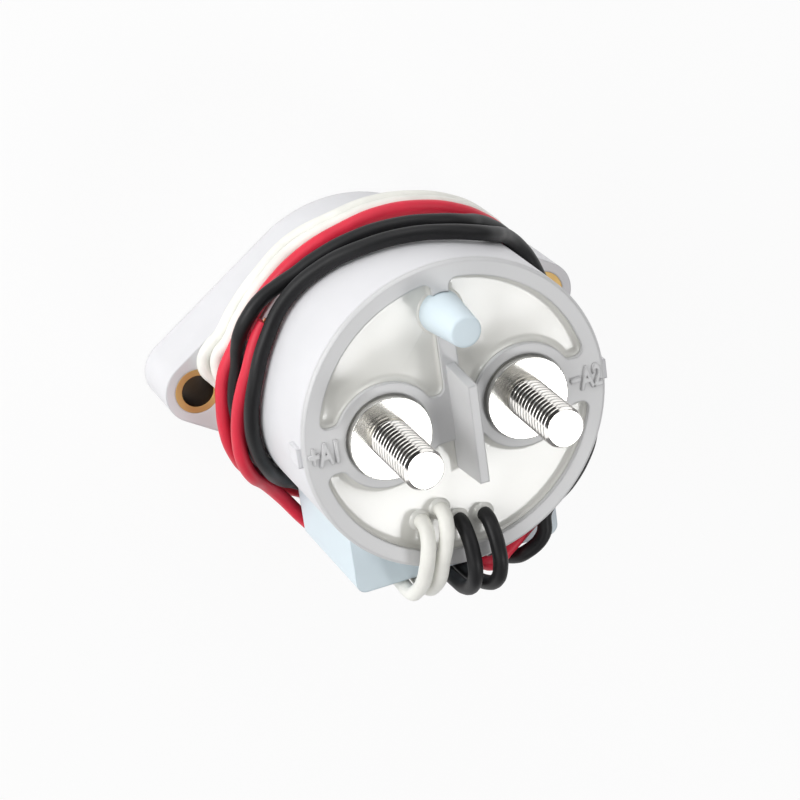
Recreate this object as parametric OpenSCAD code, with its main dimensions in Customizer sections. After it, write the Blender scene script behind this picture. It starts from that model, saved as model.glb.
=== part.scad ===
// Sealed round contactor with a two-lobed mounting flange, two threaded power studs,
// a side box for the coil electronics and five flying leads wound round the case.
// Millimetres. The origin is the centre of the mounting face, +Z points to the studs
// and +X runs along the line of the two terminals.

/* [Case] */
// Outside diameter of the round case
case_d = 60.5; // [59.5:0.5:63]
// Height of the rim above the mounting face
case_h = 55; // [54:0.5:58]
// Wall of the round case
case_wall = 1.85; // [1.6:0.05:2.2]
// Height of the underside of the round case
cup_z = 17.25; // [16.5:0.25:19]
// Thickness of the ledge under the round case
ledge_t = 2.5; // [2:0.1:3.5]
// Diameter of the base column
base_d = 53; // [52.5:0.5:55]
// Wall of the base column
base_wall = 2.3; // [1.8:0.1:2.5]
// Thickness of the case floor
floor_t = 3; // [2:0.25:3.5]
// Bevel round the lower edge of the round case
case_bevel = 0.8; // [0.4:0.1:1.5]
// Width of the two locating lugs beside the rim
lug_w = 3.8; // [2:0.2:6]
// Height of the locating lugs
lug_h = 4; // [2:0.5:8]
// How far the lugs stand out from the case
lug_out = 0.8; // [0.4:0.1:1.5]

/* [Flange] */
// Thickness of the mounting lobes
flange_t = 13.5; // [11:0.5:15]
// Distance between the two mounting holes
hole_spacing = 73.2; // [71:0.2:80]
// Diameter of the rounded lobes
lobe_d = 12.8; // [12:0.2:16]
// Outside diameter of the mounting bushings
bushing_d = 9; // [8:0.25:10]
// Bore of the mounting bushings
bushing_bore = 6.4; // [5.5:0.1:7]

/* [Terminals] */
// Distance between the two power studs
terminal_spacing = 27.4; // [26.5:0.1:28.5]
// Diameter of the contact pads
pad_d = 16; // [14.5:0.5:17]
// Thickness of the contact pads
pad_t = 2; // [1.5:0.1:3]
// Height of the pads above the rim
pad_rise = 1.6; // [0.8:0.1:2.5]
// Diameter of the terminal posts
post_d = 13; // [11:0.5:13.5]
// Diameter of the studs
stud_d = 8; // [6:1:8]
// Length of the studs above the pads
stud_l = 15.7; // [12:0.1:22]
// Depth of the studs in the posts
stud_depth = 9; // [6:0.5:10]
// Shoulder on which the studs stand on the pads
stud_shoulder = 0.8; // [0.4:0.1:1.2]
// Bevel on the tip of the studs
stud_bevel = 0.9; // [0.4:0.1:1.2]

/* [Cover] */
// Width of the rim
rim_w = 3.25; // [2.75:0.25:4]
// Thickness of the rim over the case wall
rim_t = 1; // [0.8:0.1:1.5]
// Bevel on the outer edge of the rim
rim_bevel = 0.5; // [0.2:0.1:0.7]
// Depth of the seam groove between rim and case
seam = 0.15; // [0.1:0.05:0.3]
// Floor of the cover under the resin
cover_floor_t = 1.6; // [1:0.1:2]
// Diameter of the bosses round the pads
boss_d = 20.5; // [19:0.5:22]
// Width of the bridges between boss and rim
bridge_w = 9; // [7:0.5:12]
// Width of the web between the bosses
web_w = 9.4; // [7:0.2:12]
// Width of the rib between barrier and rim
rib_w = 3.3; // [2:0.1:4]
// Radius of the pocket corners
pocket_fillet = 1.6; // [0.8:0.1:2]
// Height of the barrier wall above the rim
barrier_h = 10; // [6:0.5:14]
// Length of the barrier wall
barrier_l = 21.2; // [16:0.2:24]
// Thickness of the barrier wall
barrier_t = 1.8; // [1.2:0.1:3]
// Run-in of the sloped barrier ends
barrier_slope = 0.9; // [0:0.1:3]
// Depth of the resin pockets below the rim
pocket_depth = 4.5; // [3.5:0.1:6]
// Depth of the resin surface below the rim
potting_drop = 1.7; // [1:0.1:2.5]

/* [Filling tube] */
// Distance of the filling tube from the axis
fill_y = 20.4; // [19:0.2:21]
// Diameter of the filling tube
fill_tube_d = 4.4; // [3:0.2:5]
// Length of the filling tube above the resin
fill_tube_l = 9; // [6:0.5:10]
// Wall of the filling tube
fill_tube_wall = 0.7; // [0.4:0.1:1]
// Diameter of the cap at its foot
cap_d = 8.4; // [7:0.2:9]
// Diameter of the cap at its tip
cap_tip_d = 6; // [5.8:0.1:7]
// Height of the cap
cap_h = 12; // [11:0.5:16]

/* [Side box] */
// Width of the side box
box_w = 42; // [38:1:48]
// How far the outer face of the box stands out from the case
box_depth = 4.95; // [4.8:0.05:5.4]
// Height of the box
box_h = 28.25; // [24:0.25:30]
// Wall of the box
box_wall = 1.8; // [1.2:0.1:2]
// Radius of the outer corners of the box
box_corner = 2; // [1:0.25:3]
// Thickness of the circuit board
board_t = 1.6; // [0.8:0.1:1.6]
// Gap beside the ends of the circuit board
board_gap = 1.7; // [0.5:0.1:4]
// Gap above and below the circuit board
board_gap_z = 2.3; // [0.5:0.1:5]
// Height of the board parts above the board
chip_h = 2.6; // [1.5:0.1:2.8]
// Width of the board parts
chip_w = 6; // [4:0.5:7]

/* [Magnet system] */
// Gap between yoke and base column
yoke_gap = 0.3; // [0.1:0.1:0.6]
// Wall of the yoke
yoke_t = 2; // [1.5:0.1:2.5]
// Thickness of the pole plate
pole_t = 3; // [2.5:0.1:3.5]
// Outside diameter of the core tube
tube_d = 17.9; // [16:0.1:19]
// Wall of the core tube
tube_t = 0.5; // [0.3:0.05:0.7]
// Length of the plunger
plunger_l = 10.7; // [9:0.1:12]
// Gap between plunger and fixed core at rest
air_gap = 2; // [1.9:0.05:2.6]
// Wall of the bobbin
bobbin_t = 1.2; // [0.8:0.1:1.5]
// How far the winding stays below the bobbin flanges
coil_under = 0.8; // [0.4:0.1:1.5]
// Diameter of the drive shaft
shaft_d = 4; // [3:0.2:4.4]
// Outside diameter of the return spring
return_spring_d = 8; // [7.4:0.1:9]
// Wire of the return spring
return_spring_wire = 0.8; // [0.6:0.1:0.9]
// Depth of the spring pockets in plunger and core
spring_pocket = 4; // [3:0.25:5]
// Gap round the return spring in its pockets
pocket_gap = 0.4; // [0.3:0.05:0.6]

/* [Contact system] */
// Height of the arc chamber
chamber_h = 14.4; // [14:0.1:14.8]
// Wall of the arc chamber
chamber_t = 2; // [1.5:0.1:2.5]
// Gap between arc chamber and case
chamber_gap = 1.9; // [1.5:0.1:2.4]
// Thickness of the ceramic header
header_t = 3.4; // [3:0.1:3.6]
// Open gap between the contact tips
contact_gap = 1.4; // [1:0.05:1.5]
// Diameter of the contact tips
tip_d = 7; // [5:0.5:9]
// Thickness of the contact tips
tip_t = 0.5; // [0.3:0.1:0.7]
// Width of the contact bridge
bar_w = 10; // [9.6:0.2:12]
// Thickness of the contact bridge
bar_t = 2.4; // [2:0.1:2.6]
// Diameter of the spring collar on the shaft
collar_d = 10; // [9.8:0.1:12]
// Thickness of the spring collar
collar_t = 1; // [0.8:0.1:1.2]
// Gap under the spring collar at rest
collar_gap = 1; // [0.5:0.1:1.2]
// Length of the contact spring
contact_spring_h = 5; // [4.6:0.1:5.2]
// Outside diameter of the contact spring
contact_spring_d = 9; // [8:0.1:9.4]
// Wire of the contact spring
contact_spring_wire = 1; // [0.8:0.1:1.1]
// Diameter of the shaft clip
clip_d = 8; // [7:0.5:9]
// Thickness of the shaft clip
clip_t = 0.7; // [0.5:0.1:0.9]
// Length of the blowout magnets
magnet_l = 16; // [12:0.5:18]
// Thickness of the blowout magnets
magnet_t = 3; // [2:0.25:3.5]
// Height of the blowout magnets
magnet_h = 10; // [8:0.5:12]
// Gap between the magnet corners and the arc chamber
magnet_gap = 1.4; // [0.5:0.1:1.6]
// Length of the sealed switch block
switch_l = 12; // [8:0.5:16]
// Height and width of the sealed switch block
switch_s = 4.5; // [3:0.25:5]
// Distance of the switch block from the axis
switch_y = 13; // [11:0.25:14.5]

/* [Leads] */
// Diameter of the flying leads
lead_d = 2.9; // [2:0.1:2.95]

/* [Fits] */
// Clearance between pieces that are seated together
seat = 0.05; // [0.02:0.01:0.1]
// Radial clearance of sliding pieces
running = 0.08; // [0.03:0.01:0.1]
// Clearance between the cover skirt and the case
skirt_gap = 0.2; // [0.1:0.05:0.3]
// Clearance round the pads and posts
pad_gap = 0.3; // [0.1:0.05:0.5]

/* [Hidden] */
$fn = 64;
eps = 0.01;

case_r = case_d / 2;
case_in = case_r - case_wall;
base_r = base_d / 2;
base_in = base_r - base_wall;
lobe_r = lobe_d / 2;
hole_x = hole_spacing / 2;
pole_x = terminal_spacing / 2;
lip_z = case_h - rim_t;
pocket_r = case_r - rim_w;
skirt_r = case_in - skirt_gap;
potting_z = case_h - potting_drop;

// The sealed chamber hangs under the cover, and the iron circuit fills the height below it
cover_floor = case_h - pocket_depth;
cover_z = cover_floor - cover_floor_t;
header_top = cover_z - seat;
chamber_top = header_top - header_t;
pole_top = chamber_top - chamber_h;
pole_z = pole_top - pole_t;

// The iron circuit stands on the case floor
yoke_r = base_in - yoke_gap;
yoke_z = floor_t + seat;
yoke_floor = yoke_z + yoke_t;
tube_r = tube_d / 2;
tube_in = tube_r - tube_t;
tube_z = yoke_floor + seat;
plunger_z = tube_z + tube_t + seat;
plunger_top = plunger_z + plunger_l;
plunger_r = tube_in - running;
core_r = tube_in - seat;
core_z = plunger_top + air_gap;
shaft_r = shaft_d / 2;
spring_hole_r = return_spring_d / 2 + pocket_gap;
bobbin_in = tube_r + seat;
bobbin_barrel = bobbin_in + bobbin_t;
bobbin_r = yoke_r - yoke_t - yoke_gap;
bobbin_z = yoke_floor + seat;
bobbin_top = pole_z - seat;

// The contacts work in the chamber above the pole plate
chamber_r = case_in - chamber_gap;
magnet_r = chamber_r - chamber_t - magnet_gap;
magnet_y = sqrt(magnet_r * magnet_r - magnet_l * magnet_l / 4) - magnet_t;
collar_z = pole_top + collar_gap;
collar_top = collar_z + collar_t;
bar_z = collar_top + contact_spring_h;
bar_top = bar_z + bar_t;
contact_z = bar_top + tip_t + contact_gap;
post_z = contact_z + tip_t;
pad_top = case_h + pad_rise;
pad_z = pad_top - pad_t;
post_r = post_d / 2;
pad_r = pad_d / 2;
stud_r = stud_d / 2;
stud_root_r = stud_r - stud_shoulder;
clip_z = bar_top + seat;
shaft_top = clip_z + clip_t + collar_t;

box_y = case_r + box_depth;
box_z = cup_z;
box_top = box_z + box_h;
board_y = box_y - box_wall - seat;
board_w = box_w - 2 * (box_wall + board_gap);
board_h = box_h - 2 * (box_wall + board_gap_z);
board_z = box_z + box_wall + board_gap_z;
chip_x = board_w / 2 - chip_w / 2;

// A point given by angle, distance from the case wall and height
function polar(p) = [(case_r + p[1]) * cos(p[0]), (case_r + p[1]) * sin(p[0]), p[2]];
// A point given across the side box, outward from its face and by height
function outside(p) = [p[0], -box_y - p[1], p[2]];
// The same with its height above the rim
function over(p) = [p[0], -box_y - p[1], case_h + p[2]];

// Leads: out of the resin, over the rim, down outside the side box and round the case
route_white_1 = concat(
    [for (p = [[-9.4, -15.8, -potting_drop], [-9.4, -15.8, 0], [-9.7, -14.2, 2.2],
               [-10.4, -11, 3.1], [-11, -7.4, 2.4], [-11.2, -3.9, 0.2], [-11.2, -0.6, -3.4]]) over(p)],
    [for (p = [[-11.2, 1.7, 48], [-11.2, 1.7, 41], [-11.2, 1.7, 33], [-11.2, 1.9, 25],
               [-11.2, 2.6, 17.5], [-11.6, 2.2, 11.2], [-13.2, 0.2, 6.8], [-16, -2.8, 5.4],
               [-19.4, -6.4, 5.9]]) outside(p)],
    [for (p = [[228, 4.05, 7], [218, 3.15, 8.8], [211, 3.55, 11], [206, 3.55, 13.2],
               [202, 3.15, 15], [197, 2.35, 15.3], [191, 1.75, 15.2], [184, 1.65, 15.2],
               [179, 1.95, 15.2], [175.5, 3.25, 15.2], [172.5, 4.75, 15.2], [169, 5.15, 15.2],
               [165, 4.35, 15.6], [160, 2.85, 16.5], [150, 2.05, 17.6], [135, 1.85, 20], [120, 1.85, 20.8], [105, 1.85, 23.3],
               [90, 1.85, 23.4], [75, 1.85, 23.3], [60, 1.85, 22], [45, 1.85, 19.6],
               [30, 1.85, 16.8], [15, 1.85, 15.3], [0, 1.85, 15.2], [-15, 1.85, 15.2],
               [-26, 1.85, 15.2], [-38, 1.95, 11.8], [-50, 1.85, 8.4], [-62, 1.85, 7.5],
               [-70, 1.85, 7.4]]) polar(p)]);
route_white_2 = concat(
    [for (p = [[-5.3, -16.9, -potting_drop], [-5.3, -16.9, 0], [-5.7, -15.3, 2.2],
               [-6.6, -12.2, 3.2], [-7.5, -8.5, 2.6], [-7.8, -4.5, 0.8], [-7.8, -0.9, -2.8]]) over(p)],
    [for (p = [[-7.8, 1.7, 48], [-7.8, 1.7, 41], [-7.8, 1.7, 33], [-7.8, 1.9, 25],
               [-7.8, 2.6, 17], [-8.2, 2.2, 10.8], [-9.4, 0.2, 6.4], [-11.6, -3.2, 4.6],
               [-14.8, -6.8, 5.2], [-17.7, -9.4, 6.8]]) outside(p)],
    [for (p = [[228, 0.85, 8.6], [218, 0.95, 11.6], [208, 1.55, 16.2], [201, 1.65, 18.4],
               [192, 1.75, 18.5], [184, 1.75, 18.4], [177, 1.95, 18.3], [171, 3.25, 18.2],
               [166, 3.45, 18.5], [160, 2.25, 19.7], [150, 1.85, 21.1], [135, 1.85, 23.2], [120, 1.85, 24.2], [105, 1.85, 26.5],
               [90, 1.85, 26.5], [75, 1.85, 26.5], [60, 1.85, 25.3], [45, 1.85, 22.9],
               [30, 1.85, 20.2], [15, 1.85, 18.6], [0, 1.85, 18.4], [-15, 1.85, 18.4],
               [-26, 1.85, 18.5], [-38, 1.95, 15.4], [-50, 1.85, 12], [-62, 1.85, 10.8],
               [-69, 1.85, 10.6]]) polar(p)]);
route_black_1 = concat(
    [for (p = [[-1.9, -13.7, -potting_drop], [-1.9, -13.7, 0], [-1.9, -12.1, 2.2],
               [-1.9, -8.8, 3.9], [-1.9, -4.6, 3.8], [-1.9, -1, 1.6], [-2.1, 1.1, -2]]) over(p)],
    [for (p = [[-2.2, 1.7, 48], [-2.2, 1.7, 41], [-2.2, 1.9, 33], [-2.2, 2.6, 25],
               [-2.6, 2.8, 19.4], [-3.9, 1, 15.3], [-6.4, -1.6, 14.2], [-10, -4.4, 14.2],
               [-14.8, -7.4, 14.8]]) outside(p)],
    [for (p = [[228, 1.35, 15.5], [223, 1.75, 17.3], [218, 1.85, 19.3], [208, 1.85, 23.9],
               [195, 1.85, 27.9], [180, 1.85, 31.8], [165, 1.85, 34.6], [150, 1.85, 35],
               [135, 1.85, 34.8], [120, 1.85, 36.9], [105, 1.85, 40.4], [90, 1.85, 43.2],
               [78, 1.85, 45], [68, 1.85, 45], [60, 1.75, 42.6], [52, 1.65, 38],
               [44, 1.65, 33.8], [36, 1.65, 31.2], [28, 1.65, 29.7], [20, 1.65, 28.6],
               [12, 1.65, 28.8], [4, 1.65, 31.6], [-4, 1.65, 36.6], [-12, 1.65, 42],
               [-20, 1.65, 46.6], [-28, 1.65, 49.2], [-36, 1.65, 50], [-45, 1.65, 50],
               [-58, 1.75, 50.1]]) polar(p)],
    [for (p = [[16, -3.2, 50.1], [12.8, 0.2, 48.6], [10.8, 2, 45.4], [8.8, 2, 40.6],
               [7.7, 1.8, 34], [7.6, 1.8, 27], [7.6, 1.8, 21.5]]) outside(p)]);
route_black_2 = concat(
    [for (p = [[3.2, -13.3, -potting_drop], [3.2, -13.3, 0], [3.2, -11.7, 2.2],
               [3.2, -8.4, 3.9], [3.2, -4.2, 3.8], [2.8, -0.6, 1.8], [2, 1.3, -2]]) over(p)],
    [for (p = [[1.2, 1.7, 48], [1, 1.7, 41], [1, 1.9, 33], [1, 2.6, 25], [0.8, 3, 18.4],
               [0, 1.8, 14], [-1.9, -0.8, 11.6], [-5.2, -3, 11.1], [-9.6, -5, 11.2],
               [-14.8, -7.4, 11.5]]) outside(p)],
    [for (p = [[228, 0.95, 12], [218, 1.15, 15.4], [208, 1.65, 20], [201, 1.75, 22],
               [192, 2.05, 23.2], [180, 2.45, 24.4], [172, 2.25, 25], [165, 2.25, 25.9],
               [158, 3.45, 27.4], [152, 4.55, 29.2], [146, 4.75, 30.4], [140, 4.35, 30.9],
               [133, 2.95, 31.3], [126, 1.95, 32.1], [120, 1.85, 32.8], [105, 1.85, 35.2],
               [90, 1.85, 37.2], [75, 1.85, 38.4], [66, 1.75, 37], [58, 1.65, 33.8],
               [50, 1.65, 31], [42, 1.65, 29], [34, 1.65, 27.5], [26, 1.65, 26.2],
               [18, 1.65, 25.4], [10, 1.65, 25.2], [3, 2.45, 25.4], [-3, 4.05, 25.2],
               [-9, 4.85, 24.4], [-15, 4.65, 23.2], [-21, 3.45, 22.3], [-27, 2.25, 21.6],
               [-32, 1.95, 20.5], [-38, 1.95, 18.9], [-50, 1.85, 15.4], [-62, 1.85, 14.2],
               [-68, 1.85, 14]]) polar(p)]);
route_red = concat(
    [for (p = [[8, -4.2, box_z], [8, -4.2, 15], [7.4, -4.1, 11.8], [5, -3.6, 9.3],
               [1.4, -2.9, 8], [-4, -1.8, 7.8], [-11, -2.8, 8.4], [-17.4, -5.8, 9.4]]) outside(p)],
    [for (p = [[228, 4.15, 10.4], [218, 4.15, 12.6], [208, 4.75, 17.1], [201, 4.85, 19],
               [192, 4.75, 20.4], [180, 3.95, 21.4], [170, 3.35, 21.9], [160, 2.05, 23],
               [150, 1.85, 24.8], [135, 1.85, 26.8], [120, 1.85, 28.2], [105, 1.85, 29.7],
               [90, 1.85, 29.6], [75, 1.85, 29.6], [62, 1.75, 28.8], [50, 1.65, 27.1],
               [40, 1.65, 25.3], [30, 1.65, 23.5], [20, 1.65, 22.3], [10, 1.65, 22],
               [0, 1.65, 22.3], [-8, 1.65, 24.2], [-15, 1.65, 27.8], [-22, 1.65, 33],
               [-29, 1.65, 38.8], [-36, 1.65, 43.8], [-42, 1.75, 47.1]]) polar(p)],
    [for (p = [[19.4, -8.9, 47.2], [13.8, -4.2, 47.2], [9.2, -1.1, 47.6], [6.6, 1.2, 47],
               [5.2, 1.9, 44.4], [4.6, 1.9, 40.6], [4.5, 2, 34], [4.2, 3.2, 28],
               [3.4, 5.4, 22.4], [0.4, 6.5, 17.8], [-5, 6.6, 14.7], [-10.6, 6.2, 13.3],
               [-15.6, 3.2, 13], [-19.6, -2, 13.2]]) outside(p)],
    [for (p = [[229, 5.55, 14], [218, 4.45, 17], [208, 4.85, 21.6], [201, 4.75, 23.7],
               [194, 4.25, 25.4], [180, 2.95, 27.9], [170, 2.25, 29.7], [163, 1.75, 30.5],
               [157, 1.65, 30.7], [151, 1.65, 30.7], [146, 1.65, 30.7]]) polar(p)]);

// Unit vector
function unit(v) = v / norm(v);
// Tangents of a list of points
function tangents(p) = [for (i = [0 : len(p) - 1])
    unit(p[min(i + 1, len(p) - 1)] - p[max(i - 1, 0)])];
// A vector square to t, as close as possible to n
function square_to(n, t) = unit(n - (n * t) * t);
// Directions that turn as little as possible along the tangents
function carried(t, n) = [for (i = 0, d = square_to(n, t[0]); i < len(t);
    i = i + 1, d = i < len(t) ? square_to(d, t[i]) : d) d];

// Round bar swept along a list of points, with flat ends
module swept(p, r, sides, n = [1, 0, 0]) {
    t = tangents(p);
    u = carried(t, n);
    last = len(p) - 1;
    pts = [for (i = [0 : last]) for (k = [0 : sides - 1])
        p[i] + r * (cos(360 * k / sides) * u[i] + sin(360 * k / sides) * cross(t[i], u[i]))];
    sides_of = [for (i = [0 : last - 1]) for (k = [0 : sides - 1])
        [i * sides + k, (i + 1) * sides + k,
         (i + 1) * sides + (k + 1) % sides, i * sides + (k + 1) % sides]];
    first_end = [for (k = [0 : sides - 1]) k];
    last_end = [for (k = [sides - 1 : -1 : 0]) last * sides + k];
    polyhedron(pts, concat([first_end], sides_of, [last_end]), convexity = 10);
}

// Compression spring with one closed turn at each end
module spring(z, h, d, wire, turns) {
    steps = 14;
    count = (turns + 2) * steps;
    rise = h - wire;
    swept([for (i = [0 : count])
        let (a = 360 * i / steps, s = min(max((i / steps - 1) / turns, 0), 1))
        [(d - wire) / 2 * cos(a), (d - wire) / 2 * sin(a),
         z + wire / 2 + rise * s]], wire / 2, 6, [0, 0, 1]);
}

// Ring between two radii and two heights
module ring(r_out, r_in, z0, z1) {
    translate([0, 0, z0])
    difference() {
        cylinder(r = r_out, h = z1 - z0);
        translate([0, 0, -1]) cylinder(r = r_in, h = z1 - z0 + 2);
    }
}

// Places its child on both sides of the axis
module on_both(x) {
    for (side = [-1, 1]) translate([side * x, 0, 0]) children();
}

// Outline of the mounting flange: base circle, lobes and the straight flanks between them
module flange_outline() {
    s = (base_r - lobe_r) / hole_x;
    c = sqrt(1 - s * s);
    circle(base_r);
    on_both(hole_x) circle(lobe_r);
    for (side = [-1, 1])
        polygon([[side * base_r * s, base_r * c], [side * (hole_x + lobe_r * s), lobe_r * c],
                 [side * (hole_x + lobe_r * s), -lobe_r * c], [side * base_r * s, -base_r * c]]);
}

// Outline of the resin pockets in the cover
module pocket_outline() {
    offset(r = pocket_fillet) offset(delta = -pocket_fillet)
    difference() {
        circle(pocket_r);
        on_both(pole_x) circle(boss_d / 2);
        on_both(case_r / 2 + pole_x / 2) square([case_r - pole_x, bridge_w], center = true);
        square([terminal_spacing, web_w], center = true);
        translate([-rib_w / 2, 0]) square([rib_w, case_r]);
    }
}

// The pockets less the foot of the barrier wall, which stands in the lower one
module pocket_area() {
    difference() {
        pocket_outline();
        square([barrier_t, barrier_l], center = true);
    }
}

module case() {
    color("whitesmoke")
    difference() {
        union() {
            rotate_extrude()
            polygon([[0, 0], [base_r, 0], [base_r, cup_z], [case_r - case_bevel, cup_z],
                     [case_r, cup_z + case_bevel], [case_r, lip_z - seam],
                     [case_r - seam, lip_z], [case_in, lip_z], [case_in, cup_z + ledge_t],
                     [base_in, cup_z + ledge_t], [base_in, floor_t], [0, floor_t]]);
            difference() {
                linear_extrude(flange_t) flange_outline();
                translate([0, 0, -1]) cylinder(r = base_in + eps, h = flange_t + 2);
            }
            for (side = [-1, 1])
                translate([side * (case_r + lug_out / 2 - case_wall / 4), 0, lip_z - seam - lug_h / 2])
                cube([lug_out + case_wall / 2, lug_w, lug_h], center = true);
        }
        on_both(hole_x) translate([0, 0, -1]) cylinder(d = bushing_d, h = flange_t + 2);
    }
}

module mounting_bushings() {
    color("goldenrod")
    on_both(hole_x) ring(bushing_d / 2, bushing_bore / 2, 0, flange_t);
}

module terminal_cover() {
    color("gainsboro")
    difference() {
        union() {
            rotate_extrude()
            polygon([[0, cover_z], [skirt_r, cover_z], [skirt_r, lip_z], [case_r - seam, lip_z],
                     [case_r, lip_z + seam], [case_r, case_h - rim_bevel],
                     [case_r - rim_bevel, case_h], [0, case_h]]);
            translate([-barrier_t / 2, 0, case_h - eps])
            rotate([90, 0, 90])
            linear_extrude(barrier_t)
            polygon([[-barrier_l / 2, 0], [barrier_l / 2, 0],
                     [barrier_l / 2 - barrier_slope, barrier_h + eps],
                     [-barrier_l / 2 + barrier_slope, barrier_h + eps]]);
        }
        translate([0, 0, cover_floor]) linear_extrude(case_h) pocket_area();
        on_both(pole_x) translate([0, 0, cover_z - 1]) cylinder(r = post_r + pad_gap, h = case_h);
        on_both(pole_x) translate([0, 0, pad_z - seat]) cylinder(r = pad_r + pad_gap, h = case_h);
        translate([0, fill_y, cover_z - 1]) cylinder(r = fill_tube_d / 2 + seat, h = case_h);
        translate([0, fill_y, potting_z]) cylinder(r = cap_d / 2 + seat, h = case_h);
    }
}

module potting() {
    color("cornsilk")
    difference() {
        translate([0, 0, cover_floor])
        linear_extrude(potting_z - cover_floor) pocket_area();
        translate([0, fill_y, cover_z - 1]) cylinder(r = fill_tube_d / 2 + seat, h = case_h);
    }
}

// Plated post with its round pad and a blind hole for the stud
module terminal() {
    color("silver")
    difference() {
        union() {
            translate([0, 0, post_z]) cylinder(r = post_r, h = pad_z - post_z + eps);
            translate([0, 0, pad_z]) cylinder(r = pad_r, h = pad_t);
        }
        translate([0, 0, pad_top - stud_depth]) cylinder(r = stud_root_r, h = stud_depth + 1);
    }
}

module positive_terminal() {
    translate([-pole_x, 0, 0]) terminal();
}

module negative_terminal() {
    translate([pole_x, 0, 0]) terminal();
}

module terminal_studs() {
    color("lightsteelblue")
    on_both(pole_x)
    translate([0, 0, pad_top])
    union() {
        translate([0, 0, -stud_depth]) cylinder(r = stud_root_r, h = stud_depth + stud_bevel);
        cylinder(r = stud_r, h = stud_l - stud_bevel);
        translate([0, 0, stud_l - stud_bevel])
        cylinder(r1 = stud_r, r2 = stud_r - stud_bevel, h = stud_bevel);
    }
}

module fill_tube() {
    color("peru")
    translate([0, fill_y, 0])
    union() {
        ring(fill_tube_d / 2, fill_tube_d / 2 - fill_tube_wall, chamber_top, potting_z + fill_tube_l - 2);
        translate([0, 0, potting_z + fill_tube_l - 2]) cylinder(r = fill_tube_d / 2, h = 2);
    }
}

module fill_tube_cap() {
    color("lightblue")
    translate([0, fill_y, potting_z])
    difference() {
        cylinder(r1 = cap_d / 2, r2 = cap_tip_d / 2, h = cap_h);
        translate([0, 0, -1]) cylinder(r = fill_tube_d / 2 + seat, h = fill_tube_l + seat + 1);
    }
}

module economizer_box() {
    color("lightblue")
    difference() {
        translate([0, 0, box_z])
        linear_extrude(box_h)
        union() {
            translate([-box_w / 2, -box_y + box_corner]) square([box_w, box_y - box_corner]);
            translate([-box_w / 2 + box_corner, -box_y]) square([box_w - 2 * box_corner, box_y]);
            on_both(box_w / 2 - box_corner) translate([0, -box_y + box_corner]) circle(box_corner);
        }
        translate([0, 0, box_z - 1]) cylinder(r = case_r + seat, h = box_h + 2);
        translate([-box_w / 2 + box_wall, -box_y + box_wall, box_z + box_wall])
        cube([box_w - 2 * box_wall, box_y, box_h - 2 * box_wall]);
        translate([-box_w, 0, box_z - 1]) cube([2 * box_w, box_y, box_h + 2]);
    }
}

module economizer_board() {
    color("seagreen")
    translate([-board_w / 2, -board_y, board_z]) cube([board_w, board_t, board_h]);
}

module board_components() {
    color("dimgray")
    on_both(chip_x)
    translate([-chip_w / 2, -board_y + board_t, board_z + board_h / 4])
    cube([chip_w, chip_h, board_h / 2]);
}

module ceramic_header() {
    color("linen")
    difference() {
        translate([0, 0, chamber_top]) cylinder(r = chamber_r, h = header_t);
        on_both(pole_x) translate([0, 0, chamber_top - 1]) cylinder(r = post_r + seat, h = header_t + 2);
        translate([0, fill_y, chamber_top - 1]) cylinder(r = fill_tube_d / 2 + seat, h = header_t + 2);
    }
}

module arc_chamber() {
    color("antiquewhite")
    ring(chamber_r, chamber_r - chamber_t, pole_top, chamber_top);
}

module blowout_magnets() {
    color("dimgray")
    for (side = [0, 180])
        rotate(side)
        translate([-magnet_l / 2, magnet_y, pole_top]) cube([magnet_l, magnet_t, magnet_h]);
}

module fixed_contact_tips() {
    color("silver")
    on_both(pole_x) translate([0, 0, contact_z]) cylinder(d = tip_d, h = tip_t);
}

module moving_contact_tips() {
    color("silver")
    on_both(pole_x) translate([0, 0, bar_top]) cylinder(d = tip_d, h = tip_t);
}

module contact_bridge() {
    color("chocolate")
    difference() {
        translate([0, 0, bar_z])
        linear_extrude(bar_t)
        union() {
            square([terminal_spacing, bar_w], center = true);
            on_both(pole_x) circle(bar_w / 2);
        }
        translate([0, 0, bar_z - 1]) cylinder(r = shaft_r + running, h = bar_t + 2);
    }
}

module contact_spring() {
    color("slategray")
    spring(collar_top + seat / 2, contact_spring_h - seat, contact_spring_d, contact_spring_wire, 2);
}

module drive_shaft() {
    color("lightgray")
    union() {
        translate([0, 0, plunger_z]) cylinder(r = shaft_r, h = shaft_top - plunger_z);
        translate([0, 0, collar_z]) cylinder(d = collar_d, h = collar_t);
    }
}

module shaft_clip() {
    color("gray")
    ring(clip_d / 2, shaft_r + seat / 2, clip_z, clip_z + clip_t);
}

module plunger() {
    color("darkgray")
    difference() {
        translate([0, 0, plunger_z]) cylinder(r = plunger_r, h = plunger_l);
        translate([0, 0, plunger_z - 1]) cylinder(r = shaft_r + seat / 2, h = plunger_l + 2);
        translate([0, 0, plunger_top - spring_pocket]) cylinder(r = spring_hole_r, h = spring_pocket + 1);
    }
}

module return_spring() {
    color("slategray")
    spring(plunger_top - spring_pocket + seat / 2, air_gap + 2 * spring_pocket - seat,
           return_spring_d, return_spring_wire, 4);
}

module fixed_core() {
    color("darkgray")
    difference() {
        translate([0, 0, core_z]) cylinder(r = core_r, h = pole_top - core_z);
        translate([0, 0, core_z - 1]) cylinder(r = shaft_r + running, h = pole_top - core_z + 2);
        translate([0, 0, core_z - 1]) cylinder(r = spring_hole_r, h = spring_pocket + 1);
    }
}

module pole_plate() {
    color("gray")
    ring(chamber_r, core_r + seat, pole_z, pole_top);
}

module yoke() {
    color("gray")
    rotate_extrude()
    polygon([[0, yoke_z], [yoke_r, yoke_z], [yoke_r, pole_z], [yoke_r - yoke_t, pole_z],
             [yoke_r - yoke_t, yoke_floor], [0, yoke_floor]]);
}

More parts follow.
